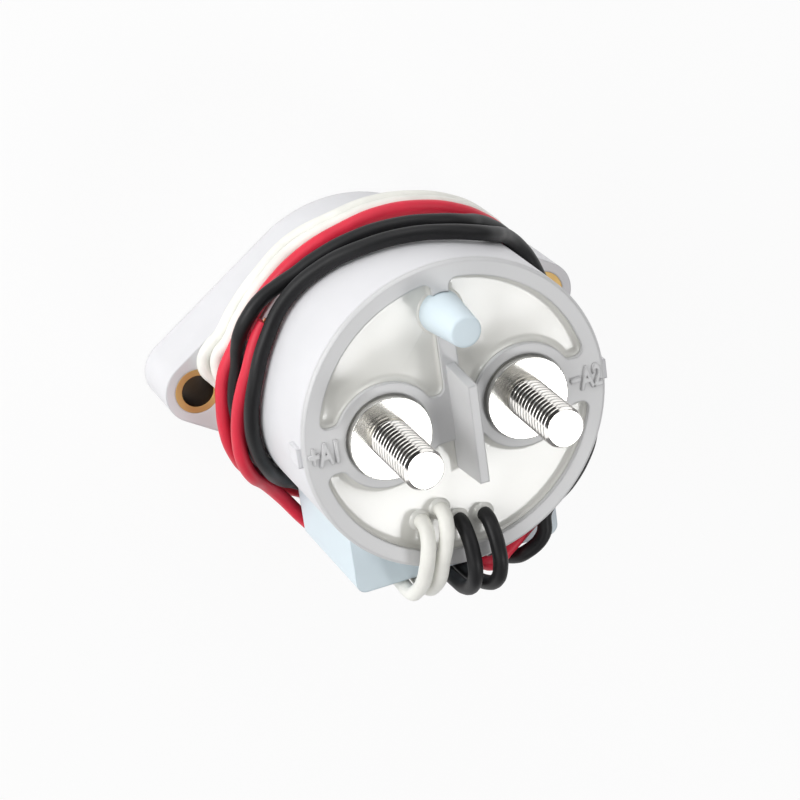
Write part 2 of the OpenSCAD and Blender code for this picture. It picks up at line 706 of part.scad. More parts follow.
module core_tube() {
    color("lightgray")
    rotate_extrude()
    polygon([[0, tube_z], [tube_r, tube_z], [tube_r, pole_z - seat], [tube_in, pole_z - seat],
             [tube_in, tube_z + tube_t], [0, tube_z + tube_t]]);
}

module bobbin() {
    color("ivory")
    rotate_extrude()
    polygon([[bobbin_in, bobbin_z], [bobbin_r, bobbin_z], [bobbin_r, bobbin_z + bobbin_t],
             [bobbin_barrel, bobbin_z + bobbin_t], [bobbin_barrel, bobbin_top - bobbin_t],
             [bobbin_r, bobbin_top - bobbin_t], [bobbin_r, bobbin_top], [bobbin_in, bobbin_top]]);
}

module coil_winding() {
    color("sienna")
    ring(bobbin_r - coil_under, bobbin_barrel + seat, bobbin_z + bobbin_t + seat,
         bobbin_top - bobbin_t - seat);
}

module aux_switch() {
    color("black")
    translate([-switch_l / 2, -switch_y - switch_s / 2, pole_top]) cube([switch_l, switch_s, switch_s]);
}

module lead_white_1() {
    color("floralwhite") swept(route_white_1, lead_d / 2, 8);
}

module lead_white_2() {
    color("floralwhite") swept(route_white_2, lead_d / 2, 8);
}

module lead_black_1() {
    color("black") swept(route_black_1, lead_d / 2, 8);
}

module lead_black_2() {
    color("black") swept(route_black_2, lead_d / 2, 8);
}

module lead_red() {
    color("crimson") swept(route_red, lead_d / 2, 8);
}

case();
mounting_bushings();
terminal_cover();
potting();
positive_terminal();
negative_terminal();
terminal_studs();
fill_tube();
fill_tube_cap();
economizer_box();
economizer_board();
board_components();
ceramic_header();
arc_chamber();
blowout_magnets();
fixed_contact_tips();
moving_contact_tips();
contact_bridge();
contact_spring();
drive_shaft();
shaft_clip();
plunger();
return_spring();
fixed_core();
pole_plate();
yoke();
core_tube();
bobbin();
coil_winding();
aux_switch();
lead_white_1();
lead_white_2();
lead_black_1();
lead_black_2();
lead_red();
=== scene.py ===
import math
import bmesh
import bpy
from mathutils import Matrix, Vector


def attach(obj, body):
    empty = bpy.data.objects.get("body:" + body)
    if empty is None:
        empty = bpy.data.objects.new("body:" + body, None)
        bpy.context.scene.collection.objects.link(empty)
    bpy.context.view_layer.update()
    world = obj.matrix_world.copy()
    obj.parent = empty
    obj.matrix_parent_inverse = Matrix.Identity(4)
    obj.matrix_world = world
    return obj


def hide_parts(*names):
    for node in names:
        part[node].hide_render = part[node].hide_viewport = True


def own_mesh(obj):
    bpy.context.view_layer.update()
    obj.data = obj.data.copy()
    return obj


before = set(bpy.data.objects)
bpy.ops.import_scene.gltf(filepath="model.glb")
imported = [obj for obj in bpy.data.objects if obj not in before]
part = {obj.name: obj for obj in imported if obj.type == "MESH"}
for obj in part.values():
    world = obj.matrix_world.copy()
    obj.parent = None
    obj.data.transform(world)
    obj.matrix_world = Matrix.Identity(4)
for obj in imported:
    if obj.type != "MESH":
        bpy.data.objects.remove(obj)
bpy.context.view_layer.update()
scene = bpy.context.scene
scene.view_settings.view_transform = "Standard"

# Camera: a long lens over the terminal side of the contactor.
# It is turned so that the filling tube is at the top of the picture.
camera_place = (-0.16035, 0.21829, 0.49009)
camera_turn = (-21.925, -22.223, -7.968)
sensor_mm, lens_mm = 36, 126
bpy.ops.object.select_all(action="DESELECT")
bpy.ops.object.camera_add(
    location=camera_place, rotation=[math.radians(angle) for angle in camera_turn])
camera = bpy.context.object
camera.name = "photo_camera"
camera.data.sensor_width = sensor_mm
camera.data.lens = lens_mm
camera.data.clip_start = 0.01
scene.camera = camera

# Table top: a white sheet under the mounting face.
# It shows as white to the eye and to polished metal, and keeps a soft shadow.
table_size, table_drop = 8, 0.0003
paper_white, glow_share = 0.86, 0.90
bpy.ops.mesh.primitive_plane_add(size=table_size, location=(0, 0, -table_drop))
table_top = bpy.context.object
table_top.name = "table_top"
paper = bpy.data.materials.new("white_paper")
paper.use_nodes = True
nodes, links = paper.node_tree.nodes, paper.node_tree.links
nodes.clear()
paper_out = nodes.new("ShaderNodeOutputMaterial")
paper_mix = nodes.new("ShaderNodeMixShader")
paper_lit = nodes.new("ShaderNodeBsdfDiffuse")
paper_lit.inputs["Color"].default_value = (paper_white, paper_white, paper_white, 1)
paper_glow = nodes.new("ShaderNodeEmission")
paper_glow.inputs["Color"].default_value = (1, 1, 1, 1)
paper_glow.inputs["Strength"].default_value = 1.0
rays = nodes.new("ShaderNodeLightPath")
seen = nodes.new("ShaderNodeMath")
seen.operation = "MAXIMUM"
seen_all = nodes.new("ShaderNodeMath")
seen_all.operation = "MAXIMUM"
share = nodes.new("ShaderNodeMath")
share.operation = "MULTIPLY"
share.inputs[1].default_value = glow_share
links.new(rays.outputs["Is Camera Ray"], seen.inputs[0])
links.new(rays.outputs["Is Glossy Ray"], seen.inputs[1])
links.new(seen.outputs[0], seen_all.inputs[0])
links.new(rays.outputs["Is Transmission Ray"], seen_all.inputs[1])
links.new(seen_all.outputs[0], share.inputs[0])
links.new(share.outputs[0], paper_mix.inputs["Fac"])
links.new(paper_lit.outputs[0], paper_mix.inputs[1])
links.new(paper_glow.outputs[0], paper_mix.inputs[2])
links.new(paper_mix.outputs[0], paper_out.inputs["Surface"])
table_top.data.materials.append(paper)

# Studio light: an even white room, a soft box in front of the terminals, a main one
# from the left of the picture, one above it, and two at the sides that edge the studs.
room_strength = 0.27
room = bpy.data.worlds.new("white_room")
room.use_nodes = True
room_back = room.node_tree.nodes["Background"]
room_back.inputs["Color"].default_value = (1, 1, 1, 1)
room_back.inputs["Strength"].default_value = room_strength
scene.world = room
for lamp_name, place, width, watts in (
        ("front_box", (0.415, -0.538, 0.95), 0.29, 2.35),
        ("left_box", (-0.88, 0.38, 0.24), 0.7, 7.3),
        ("top_box", (-0.05, 0.95, 0.32), 0.7, 2.9),
        ("near_side_box", (-0.76, -0.30, 0.72), 0.8, 2.4),
        ("far_side_box", (0.65, 0.47, 0.75), 0.8, 2.2)):
    bpy.ops.object.light_add(type="AREA", location=place)
    lamp = bpy.context.object
    lamp.name = lamp_name
    lamp.data.shape = "SQUARE"
    lamp.data.size = width
    lamp.data.energy = watts
    lamp.rotation_euler = lamp.location.to_track_quat("Z", "Y").to_euler()

# Flag card: a dark studio card behind the camera.
# Only mirror-like surfaces see it, so that the thread flanks that face the camera are dark.
card_place, card_width, card_height = (-0.24, 0.44, 0.808), 1.3, 0.55
bpy.ops.mesh.primitive_plane_add(size=1, location=card_place)
flag_card = bpy.context.object
flag_card.name = "flag_card"
flag_card.rotation_euler = camera.location.to_track_quat("Z", "Y").to_euler()
flag_card.scale = (card_width, card_height, 1)
flag_card.visible_camera = False
flag_card.visible_diffuse = False
flag_card.visible_shadow = False
flag_card.visible_transmission = False
card_black = bpy.data.materials.new("flag_card_black")
card_black.use_nodes = True
card_face = card_black.node_tree.nodes["Principled BSDF"]
card_face.inputs["Base Color"].default_value = (0.02, 0.02, 0.02, 1)
card_face.inputs["Roughness"].default_value = 0.9
flag_card.data.materials.append(card_black)


# Leads: five stranded copper wires in extruded insulation: two white, two black, one red.
# Four come up through the resin and the red one out of the side box; all are wound round
# the case, and the seven strands of each show at its cut end.
def insulation(name, colour, roughness):
    wire_skin = bpy.data.materials.new(name)
    wire_skin.use_nodes = True
    nodes, links = wire_skin.node_tree.nodes, wire_skin.node_tree.links
    skin = nodes["Principled BSDF"]
    place = nodes.new("ShaderNodeTexCoord")
    drift = nodes.new("ShaderNodeTexNoise")
    drift.inputs["Scale"].default_value = 160
    drift.inputs["Detail"].default_value = 3
    tone = nodes.new("ShaderNodeValToRGB")
    tone.color_ramp.elements[0].position = 0.3
    tone.color_ramp.elements[0].color = [c * 0.86 for c in colour] + [1]
    tone.color_ramp.elements[1].position = 0.7
    tone.color_ramp.elements[1].color = list(colour) + [1]
    grain = nodes.new("ShaderNodeTexNoise")
    grain.inputs["Scale"].default_value = 2600
    grain.inputs["Detail"].default_value = 4
    bump = nodes.new("ShaderNodeBump")
    bump.inputs["Strength"].default_value = 0.25
    bump.inputs["Distance"].default_value = 0.00008
    sheen = nodes.new("ShaderNodeMapRange")
    sheen.inputs["To Min"].default_value = roughness - 0.06
    sheen.inputs["To Max"].default_value = roughness + 0.08
    links.new(place.outputs["Object"], drift.inputs["Vector"])
    links.new(place.outputs["Object"], grain.inputs["Vector"])
    links.new(drift.outputs["Fac"], tone.inputs["Fac"])
    links.new(tone.outputs["Color"], skin.inputs["Base Color"])
    links.new(drift.outputs["Fac"], sheen.inputs["Value"])
    links.new(sheen.outputs["Result"], skin.inputs["Roughness"])
    links.new(grain.outputs["Fac"], bump.inputs["Height"])
    links.new(bump.outputs["Normal"], skin.inputs["Normal"])
    skin.inputs["Specular IOR Level"].default_value = 0.35
    return wire_skin


lead_thickness = 0.0029
strand_radius, strand_gap = 0.00021, 0.00043
strand_length, strand_proud = 0.0016, 0.0003
outer_strands = 6
white_skin = insulation("white_insulation", colour=(0.92, 0.915, 0.86), roughness=0.42)
black_skin = insulation("black_insulation", colour=(0.007, 0.007, 0.008), roughness=0.46)
red_skin = insulation("red_insulation", colour=(0.76, 0.027, 0.060), roughness=0.42)
strand_copper = bpy.data.materials.new("strand_copper")
strand_copper.use_nodes = True
nodes, links = strand_copper.node_tree.nodes, strand_copper.node_tree.links
strand_face = nodes["Principled BSDF"]
strand_face.inputs["Metallic"].default_value = 1.0
strand_place = nodes.new("ShaderNodeTexCoord")
strand_wear = nodes.new("ShaderNodeTexNoise")
strand_wear.inputs["Scale"].default_value = 3000
strand_tone = nodes.new("ShaderNodeValToRGB")
strand_tone.color_ramp.elements[0].color = (0.48, 0.22, 0.12, 1)
strand_tone.color_ramp.elements[1].color = (0.74, 0.38, 0.24, 1)
strand_gloss = nodes.new("ShaderNodeMapRange")
strand_gloss.inputs["To Min"].default_value = 0.22
strand_gloss.inputs["To Max"].default_value = 0.42
links.new(strand_place.outputs["Object"], strand_wear.inputs["Vector"])
links.new(strand_wear.outputs["Fac"], strand_tone.inputs["Fac"])
links.new(strand_tone.outputs["Color"], strand_face.inputs["Base Color"])
links.new(strand_wear.outputs["Fac"], strand_gloss.inputs["Value"])
links.new(strand_gloss.outputs["Result"], strand_face.inputs["Roughness"])
white_lead_1 = [
    (-0.0094, -0.0194, 0.0533), (-0.0094, -0.0194, 0.0550), (-0.0097, -0.0210, 0.0572),
    (-0.0104, -0.0242, 0.0581), (-0.0110, -0.0278, 0.0574), (-0.0112, -0.0313, 0.0552),
    (-0.0112, -0.0346, 0.0516), (-0.0112, -0.0369, 0.0480), (-0.0112, -0.0369, 0.0410),
    (-0.0112, -0.0369, 0.0330), (-0.0112, -0.0371, 0.0250), (-0.0112, -0.0378, 0.0175),
    (-0.0116, -0.0374, 0.0112), (-0.0132, -0.0354, 0.0068), (-0.0160, -0.0324, 0.0054),
    (-0.0194, -0.0288, 0.0059), (-0.0230, -0.0255, 0.0070), (-0.0263, -0.0206, 0.0088),
    (-0.0290, -0.0174, 0.0110), (-0.0304, -0.0148, 0.0132), (-0.0310, -0.0125, 0.0150),
    (-0.0312, -0.0095, 0.0153), (-0.0314, -0.0061, 0.0152), (-0.0318, -0.0022, 0.0152),
    (-0.0322, 0.0006, 0.0152), (-0.0334, 0.0026, 0.0152), (-0.0347, 0.0046, 0.0152),
    (-0.0347, 0.0068, 0.0152), (-0.0334, 0.0090, 0.0156), (-0.0311, 0.0113, 0.0165),
    (-0.0280, 0.0161, 0.0176), (-0.0227, 0.0227, 0.0200), (-0.0160, 0.0278, 0.0208),
    (-0.0083, 0.0310, 0.0233), (0.0000, 0.0321, 0.0234), (0.0083, 0.0310, 0.0233),
    (0.0161, 0.0278, 0.0220), (0.0227, 0.0227, 0.0196), (0.0278, 0.0160, 0.0168),
    (0.0310, 0.0083, 0.0153), (0.0321, 0.0000, 0.0152), (0.0310, -0.0083, 0.0152),
    (0.0289, -0.0141, 0.0152), (0.0254, -0.0198, 0.0118), (0.0206, -0.0246, 0.0084),
    (0.0151, -0.0283, 0.0075), (0.0110, -0.0302, 0.0074),
]
white_lead_2 = [
    (-0.0053, -0.0183, 0.0533), (-0.0053, -0.0183, 0.0550), (-0.0057, -0.0199, 0.0572),
    (-0.0066, -0.0230, 0.0582), (-0.0075, -0.0267, 0.0576), (-0.0078, -0.0307, 0.0558),
    (-0.0078, -0.0343, 0.0522), (-0.0078, -0.0369, 0.0480), (-0.0078, -0.0369, 0.0410),
    (-0.0078, -0.0369, 0.0330), (-0.0078, -0.0371, 0.0250), (-0.0078, -0.0378, 0.0170),
    (-0.0082, -0.0374, 0.0108), (-0.0094, -0.0354, 0.0064), (-0.0116, -0.0320, 0.0046),
    (-0.0148, -0.0284, 0.0052), (-0.0177, -0.0258, 0.0068), (-0.0208, -0.0231, 0.0086),
    (-0.0246, -0.0192, 0.0116), (-0.0281, -0.0149, 0.0162), (-0.0298, -0.0114, 0.0184),
    (-0.0313, -0.0067, 0.0185), (-0.0319, -0.0022, 0.0184), (-0.0322, 0.0017, 0.0183),
    (-0.0331, 0.0052, 0.0182), (-0.0327, 0.0082, 0.0185), (-0.0305, 0.0111, 0.0197),
    (-0.0278, 0.0160, 0.0211), (-0.0227, 0.0227, 0.0232), (-0.0160, 0.0278, 0.0242),
    (-0.0083, 0.0310, 0.0265), (0.0000, 0.0321, 0.0265), (0.0083, 0.0310, 0.0265),
    (0.0161, 0.0278, 0.0253), (0.0227, 0.0227, 0.0229), (0.0278, 0.0160, 0.0202),
    (0.0310, 0.0083, 0.0186), (0.0321, 0.0000, 0.0184), (0.0310, -0.0083, 0.0184),
    (0.0289, -0.0141, 0.0185), (0.0254, -0.0198, 0.0154), (0.0206, -0.0246, 0.0120),
    (0.0151, -0.0283, 0.0108), (0.0115, -0.0300, 0.0106),
]
black_lead_1 = [
    (-0.0019, -0.0215, 0.0533), (-0.0019, -0.0215, 0.0550), (-0.0019, -0.0231, 0.0572),
    (-0.0019, -0.0264, 0.0589), (-0.0019, -0.0306, 0.0588), (-0.0019, -0.0342, 0.0566),
    (-0.0021, -0.0363, 0.0530), (-0.0022, -0.0369, 0.0480), (-0.0022, -0.0369, 0.0410),
    (-0.0022, -0.0371, 0.0330), (-0.0022, -0.0378, 0.0250), (-0.0026, -0.0380, 0.0194),
    (-0.0039, -0.0362, 0.0153), (-0.0064, -0.0336, 0.0142), (-0.0100, -0.0308, 0.0142),
    (-0.0148, -0.0278, 0.0148), (-0.0211, -0.0235, 0.0155), (-0.0234, -0.0218, 0.0173),
    (-0.0253, -0.0198, 0.0193), (-0.0283, -0.0151, 0.0239), (-0.0310, -0.0083, 0.0279),
    (-0.0321, 0.0000, 0.0318), (-0.0310, 0.0083, 0.0346), (-0.0278, 0.0160, 0.0350),
    (-0.0227, 0.0227, 0.0348), (-0.0160, 0.0278, 0.0369), (-0.0083, 0.0310, 0.0404),
    (0.0000, 0.0321, 0.0432), (0.0067, 0.0314, 0.0450), (0.0120, 0.0298, 0.0450),
    (0.0160, 0.0277, 0.0426), (0.0196, 0.0251, 0.0380), (0.0229, 0.0222, 0.0338),
    (0.0258, 0.0188, 0.0312), (0.0282, 0.0150, 0.0297), (0.0300, 0.0109, 0.0286),
    (0.0312, 0.0066, 0.0288), (0.0318, 0.0022, 0.0316), (0.0318, -0.0022, 0.0366),
    (0.0312, -0.0066, 0.0420), (0.0300, -0.0109, 0.0466), (0.0282, -0.0150, 0.0492),
    (0.0258, -0.0188, 0.0500), (0.0226, -0.0226, 0.0500), (0.0170, -0.0271, 0.0501),
    (0.0160, -0.0320, 0.0501), (0.0128, -0.0354, 0.0486), (0.0108, -0.0372, 0.0454),
    (0.0088, -0.0372, 0.0406), (0.0077, -0.0370, 0.0340), (0.0076, -0.0370, 0.0270),
    (0.0076, -0.0370, 0.0215),
]
black_lead_2 = [
    (0.0032, -0.0219, 0.0533), (0.0032, -0.0219, 0.0550), (0.0032, -0.0235, 0.0572),
    (0.0032, -0.0268, 0.0589), (0.0032, -0.0310, 0.0588), (0.0028, -0.0346, 0.0568),
    (0.0020, -0.0365, 0.0530), (0.0012, -0.0369, 0.0480), (0.0010, -0.0369, 0.0410),
    (0.0010, -0.0371, 0.0330), (0.0010, -0.0378, 0.0250), (0.0008, -0.0382, 0.0184),
    (0.0000, -0.0370, 0.0140), (-0.0019, -0.0344, 0.0116), (-0.0052, -0.0322, 0.0111),
    (-0.0096, -0.0302, 0.0112), (-0.0148, -0.0278, 0.0115), (-0.0209, -0.0232, 0.0120),
    (-0.0247, -0.0193, 0.0154), (-0.0282, -0.0150, 0.0200), (-0.0299, -0.0115, 0.0220),
    (-0.0316, -0.0067, 0.0232), (-0.0327, 0.0000, 0.0244), (-0.0322, 0.0045, 0.0250),
    (-0.0314, 0.0084, 0.0259), (-0.0312, 0.0126, 0.0274), (-0.0307, 0.0163, 0.0292),
    (-0.0290, 0.0196, 0.0304), (-0.0265, 0.0222, 0.0309), (-0.0226, 0.0243, 0.0313),
    (-0.0189, 0.0261, 0.0321), (-0.0160, 0.0278, 0.0328), (-0.0083, 0.0310, 0.0352),
    (0.0000, 0.0321, 0.0372), (0.0083, 0.0310, 0.0384), (0.0130, 0.0292, 0.0370),
    (0.0169, 0.0271, 0.0338), (0.0205, 0.0244, 0.0310), (0.0237, 0.0213, 0.0290),
    (0.0264, 0.0178, 0.0275), (0.0287, 0.0140, 0.0262), (0.0303, 0.0099, 0.0254),
    (0.0314, 0.0055, 0.0252), (0.0327, 0.0017, 0.0254), (0.0343, -0.0018, 0.0252),
    (0.0347, -0.0055, 0.0244), (0.0337, -0.0090, 0.0232), (0.0315, -0.0121, 0.0223),
    (0.0290, -0.0148, 0.0216), (0.0273, -0.0171, 0.0205), (0.0254, -0.0198, 0.0189),
    (0.0206, -0.0246, 0.0154), (0.0151, -0.0283, 0.0142), (0.0120, -0.0298, 0.0140),
]
red_lead = [
    (0.0080, -0.0310, 0.0173), (0.0080, -0.0310, 0.0150), (0.0074, -0.0311, 0.0118),
    (0.0050, -0.0316, 0.0093), (0.0014, -0.0323, 0.0080), (-0.0040, -0.0334, 0.0078),
    (-0.0110, -0.0324, 0.0084), (-0.0174, -0.0294, 0.0094), (-0.0230, -0.0256, 0.0104),
    (-0.0271, -0.0212, 0.0126), (-0.0309, -0.0164, 0.0171), (-0.0328, -0.0126, 0.0190),
    (-0.0342, -0.0073, 0.0204), (-0.0342, 0.0000, 0.0214), (-0.0331, 0.0058, 0.0219),
    (-0.0304, 0.0110, 0.0230), (-0.0278, 0.0160, 0.0248), (-0.0227, 0.0227, 0.0268),
    (-0.0160, 0.0278, 0.0282), (-0.0083, 0.0310, 0.0297), (0.0000, 0.0321, 0.0296),
    (0.0083, 0.0310, 0.0296), (0.0150, 0.0283, 0.0288), (0.0205, 0.0244, 0.0271),
    (0.0244, 0.0205, 0.0253), (0.0276, 0.0159, 0.0235), (0.0300, 0.0109, 0.0223),
    (0.0314, 0.0055, 0.0220), (0.0319, 0.0000, 0.0223), (0.0316, -0.0044, 0.0242),
    (0.0308, -0.0083, 0.0278), (0.0296, -0.0119, 0.0330), (0.0279, -0.0155, 0.0388),
    (0.0258, -0.0188, 0.0438), (0.0238, -0.0214, 0.0471), (0.0194, -0.0263, 0.0472),
    (0.0138, -0.0310, 0.0472), (0.0092, -0.0341, 0.0476), (0.0066, -0.0364, 0.0470),
    (0.0052, -0.0371, 0.0444), (0.0046, -0.0371, 0.0406), (0.0045, -0.0372, 0.0340),
    (0.0042, -0.0384, 0.0280), (0.0034, -0.0406, 0.0224), (0.0004, -0.0417, 0.0178),
    (-0.0050, -0.0418, 0.0147), (-0.0106, -0.0414, 0.0133), (-0.0156, -0.0384, 0.0130),
    (-0.0196, -0.0332, 0.0132), (-0.0235, -0.0270, 0.0140), (-0.0273, -0.0214, 0.0170),
    (-0.0310, -0.0165, 0.0216), (-0.0327, -0.0125, 0.0237), (-0.0335, -0.0083, 0.0254),
    (-0.0332, 0.0000, 0.0279), (-0.0320, 0.0056, 0.0297), (-0.0306, 0.0094, 0.0305),
    (-0.0294, 0.0125, 0.0307), (-0.0279, 0.0155, 0.0307), (-0.0264, 0.0178, 0.0307),
]
for lead_node, lead_skin, lead_slot, lead_length, route in (
        ("lead_white_1", white_skin, "white_insulation", 0.257, white_lead_1),
        ("lead_white_2", white_skin, "white_insulation", 0.260, white_lead_2),
        ("lead_black_1", black_skin, "black_insulation", 0.299, black_lead_1),
        ("lead_black_2", black_skin, "black_insulation", 0.266, black_lead_2),
        ("lead_red", red_skin, "red_insulation", 0.348, red_lead)):
    wire = bpy.data.curves.new("wound_" + lead_node, "CURVE")
    wire.dimensions = "3D"
    wire.resolution_u = 10
    wire.bevel_depth = lead_thickness / 2
    wire.bevel_resolution = 6
    wire.use_fill_caps = True
    spline = wire.splines.new("BEZIER")
    spline.bezier_points.add(len(route) - 1)
    for bend, spot in zip(spline.bezier_points, route):
        bend.co = spot
        bend.handle_left_type = "AUTO"
        bend.handle_right_type = "AUTO"
    wire.materials.append(lead_skin)
    lead = bpy.data.objects.new("wound_" + lead_node, wire)
    scene.collection.objects.link(lead)
    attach(lead, "housing")
    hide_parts(lead_node)
    strands = []
    strand_ring = [(strand_gap, math.radians(360 / outer_strands * side))
                   for side in range(outer_strands)]
    for aside, turn in [(0, 0)] + strand_ring:
        bpy.ops.object.select_all(action="DESELECT")
        bpy.ops.mesh.primitive_cylinder_add(
            vertices=12, radius=strand_radius, depth=strand_length,
            location=(aside * math.cos(turn), aside * math.sin(turn),
                      strand_proud - strand_length / 2))
        strands.append(bpy.context.object)
    for strand in strands:
        strand.select_set(True)
    bpy.ops.object.join()
    conductor = bpy.context.object
    conductor.name = "conductor_" + lead_node
    way_out = Vector(route[-1]) - Vector(route[-2])
    conductor.rotation_euler = way_out.to_track_quat("Z", "Y").to_euler()
    conductor.location = route[-1]
    bpy.ops.object.transform_apply(location=True, rotation=True, scale=True)
    conductor.data.materials.clear()
    conductor.data.materials.append(strand_copper)
    bpy.ops.object.shade_smooth_by_angle(angle=math.radians(40))
    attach(conductor, "housing")


# Case: the moulded housing with its flange, base column and round cup, in one piece.
# Grey-white glass-filled plastic with a fine eroded grain and softened mould edges.
def moulded_plastic(name, colour, roughness, edge, grain_depth, shade=0.93):
    plastic = bpy.data.materials.new(name)
    plastic.use_nodes = True
    nodes, links = plastic.node_tree.nodes, plastic.node_tree.links
    body = nodes["Principled BSDF"]
    place = nodes.new("ShaderNodeTexCoord")
    drift = nodes.new("ShaderNodeTexNoise")
    drift.inputs["Scale"].default_value = 55
    drift.inputs["Detail"].default_value = 5
    tone = nodes.new("ShaderNodeValToRGB")
    tone.color_ramp.elements[0].position = 0.25
    tone.color_ramp.elements[0].color = [c * shade for c in colour] + [1]
    tone.color_ramp.elements[1].position = 0.7
    tone.color_ramp.elements[1].color = list(colour) + [1]
    grain = nodes.new("ShaderNodeTexNoise")
    grain.inputs["Scale"].default_value = 1500
    grain.inputs["Detail"].default_value = 3
    gloss = nodes.new("ShaderNodeMapRange")
    gloss.inputs["To Min"].default_value = roughness - 0.05
    gloss.inputs["To Max"].default_value = roughness + 0.07
    soft_edge = nodes.new("ShaderNodeBevel")
    soft_edge.samples = 6
    soft_edge.inputs["Radius"].default_value = edge
    bump = nodes.new("ShaderNodeBump")
    bump.inputs["Strength"].default_value = 0.3
    bump.inputs["Distance"].default_value = grain_depth
    links.new(place.outputs["Object"], drift.inputs["Vector"])
    links.new(place.outputs["Object"], grain.inputs["Vector"])
    links.new(drift.outputs["Fac"], tone.inputs["Fac"])
    links.new(tone.outputs["Color"], body.inputs["Base Color"])
    links.new(drift.outputs["Fac"], gloss.inputs["Value"])
    links.new(gloss.outputs["Result"], body.inputs["Roughness"])
    links.new(soft_edge.outputs["Normal"], bump.inputs["Normal"])
    links.new(grain.outputs["Fac"], bump.inputs["Height"])
    links.new(bump.outputs["Normal"], body.inputs["Normal"])
    body.inputs["Specular IOR Level"].default_value = 0.4
    return plastic


def dress(node_name, finish):
    mesh = part[node_name].data
    mesh.materials.clear()
    mesh.materials.append(finish)


dress("case", moulded_plastic(
    "case_plastic", colour=(0.74, 0.74, 0.76), roughness=0.42, edge=0.0006, grain_depth=0.00006))


# Mounting bushings: turned brass sleeves moulded into the flange lobes,
# flush with both faces. The turned ends are bright; the bores carry painted shade, a dark brown.
def metal(name, colour, roughness, edge, streak):
    alloy = bpy.data.materials.new(name)
    alloy.use_nodes = True
    nodes, links = alloy.node_tree.nodes, alloy.node_tree.links
    face = nodes["Principled BSDF"]
    face.inputs["Metallic"].default_value = 1.0
    place = nodes.new("ShaderNodeTexCoord")
    stretch = nodes.new("ShaderNodeMapping")
    stretch.inputs["Scale"].default_value = (1, 1, streak)
    wear = nodes.new("ShaderNodeTexNoise")
    wear.inputs["Scale"].default_value = 420
    wear.inputs["Detail"].default_value = 6
    tone = nodes.new("ShaderNodeValToRGB")
    tone.color_ramp.elements[0].position = 0.3
    tone.color_ramp.elements[0].color = [c * 0.82 for c in colour] + [1]
    tone.color_ramp.elements[1].position = 0.7
    tone.color_ramp.elements[1].color = list(colour) + [1]
    gloss = nodes.new("ShaderNodeMapRange")
    gloss.inputs["To Min"].default_value = max(roughness - 0.05, 0.02)
    gloss.inputs["To Max"].default_value = roughness + 0.08
    soft_edge = nodes.new("ShaderNodeBevel")
    soft_edge.samples = 6
    soft_edge.inputs["Radius"].default_value = edge
    links.new(place.outputs["Object"], stretch.inputs["Vector"])
    links.new(stretch.outputs["Vector"], wear.inputs["Vector"])
    links.new(wear.outputs["Fac"], tone.inputs["Fac"])
    links.new(tone.outputs["Color"], face.inputs["Base Color"])
    links.new(wear.outputs["Fac"], gloss.inputs["Value"])
    links.new(gloss.outputs["Result"], face.inputs["Roughness"])
    links.new(soft_edge.outputs["Normal"], face.inputs["Normal"])
    return alloy


bright_brass, painted_bore_shade = (0.80, 0.56, 0.235), (0.060, 0.027, 0.005)
turned_brass = metal("turned_brass", colour=bright_brass, roughness=0.58, edge=0.0003, streak=6)
# Painted shade in the bores: faces that face sideways take the dark brown, faces that face up or
# down keep the brass colour.
nodes, links = turned_brass.node_tree.nodes, turned_brass.node_tree.links
brass_place = nodes.new("ShaderNodeTexCoord")
facing = nodes.new("ShaderNodeSeparateXYZ")
upright = nodes.new("ShaderNodeMath")
upright.operation = "ABSOLUTE"
bore_shade_ramp = nodes.new("ShaderNodeValToRGB")
bore_shade_ramp.color_ramp.elements[0].position = 0.3
bore_shade_ramp.color_ramp.elements[0].color = painted_bore_shade + (1,)
bore_shade_ramp.color_ramp.elements[1].position = 0.8
bore_shade_ramp.color_ramp.elements[1].color = bright_brass + (1,)
links.new(brass_place.outputs["Normal"], facing.inputs[0])
links.new(facing.outputs["Z"], upright.inputs[0])
links.new(upright.outputs[0], bore_shade_ramp.inputs["Fac"])
links.new(bore_shade_ramp.outputs["Color"], nodes["Principled BSDF"].inputs["Base Color"])
dress("mounting_bushings", turned_brass)

# Terminal cover: the moulded front with rim, bosses, bridges, web, rib and barrier wall.
# Same plastic as the case, with raised polarity and terminal marks on the two bridges; its grey is
# darker than the case's as painted shade on the top faces.
# The colour is the case colour darkened: painted shade on the cover's top faces, web and marks.
cover_plastic = moulded_plastic(
    "cover_plastic", colour=(0.64, 0.64, 0.645), roughness=0.31, edge=0.0005, grain_depth=0.00006)
cover_face = cover_plastic.node_tree.nodes["Principled BSDF"]
cover_face.inputs["Specular IOR Level"].default_value = 0.5
dress("terminal_cover", cover_plastic)
rim_height = 0.055
mark_size, mark_squeeze, mark_spacing = 0.0060, 0.64, 0.95
mark_stroke, mark_raise, mark_edge, mark_lift = 0.00016, 0.00036, 0.00008, 0.00005
for mark_name, mark_text, mark_x, mark_y in (
        ("positive_mark", "+A1", -0.0262, -0.0002),
        ("negative_mark", "−A2", 0.0262, -0.0002)):
    bpy.ops.object.select_all(action="DESELECT")
    bpy.ops.object.text_add(location=(0, 0, 0))
    mark = bpy.context.object
    mark.data.body = mark_text
    mark.data.size = mark_size
    mark.data.offset = mark_stroke
    mark.data.align_x = "CENTER"
    mark.data.align_y = "CENTER"
    mark.data.extrude = mark_raise
    mark.data.bevel_depth = mark_edge
    mark.data.bevel_resolution = 1
    mark.data.space_character = mark_spacing
    bpy.ops.object.convert(target="MESH")
    mark = bpy.context.object
    mark.name = mark_name
    mark.location = (mark_x, mark_y, rim_height + mark_lift)
    mark.scale = (mark_squeeze, 1, 1)
    bpy.ops.object.transform_apply(location=True, rotation=True, scale=True)
    mark.data.materials.clear()
    mark.data.materials.append(cover_plastic)
    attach(mark, "housing")

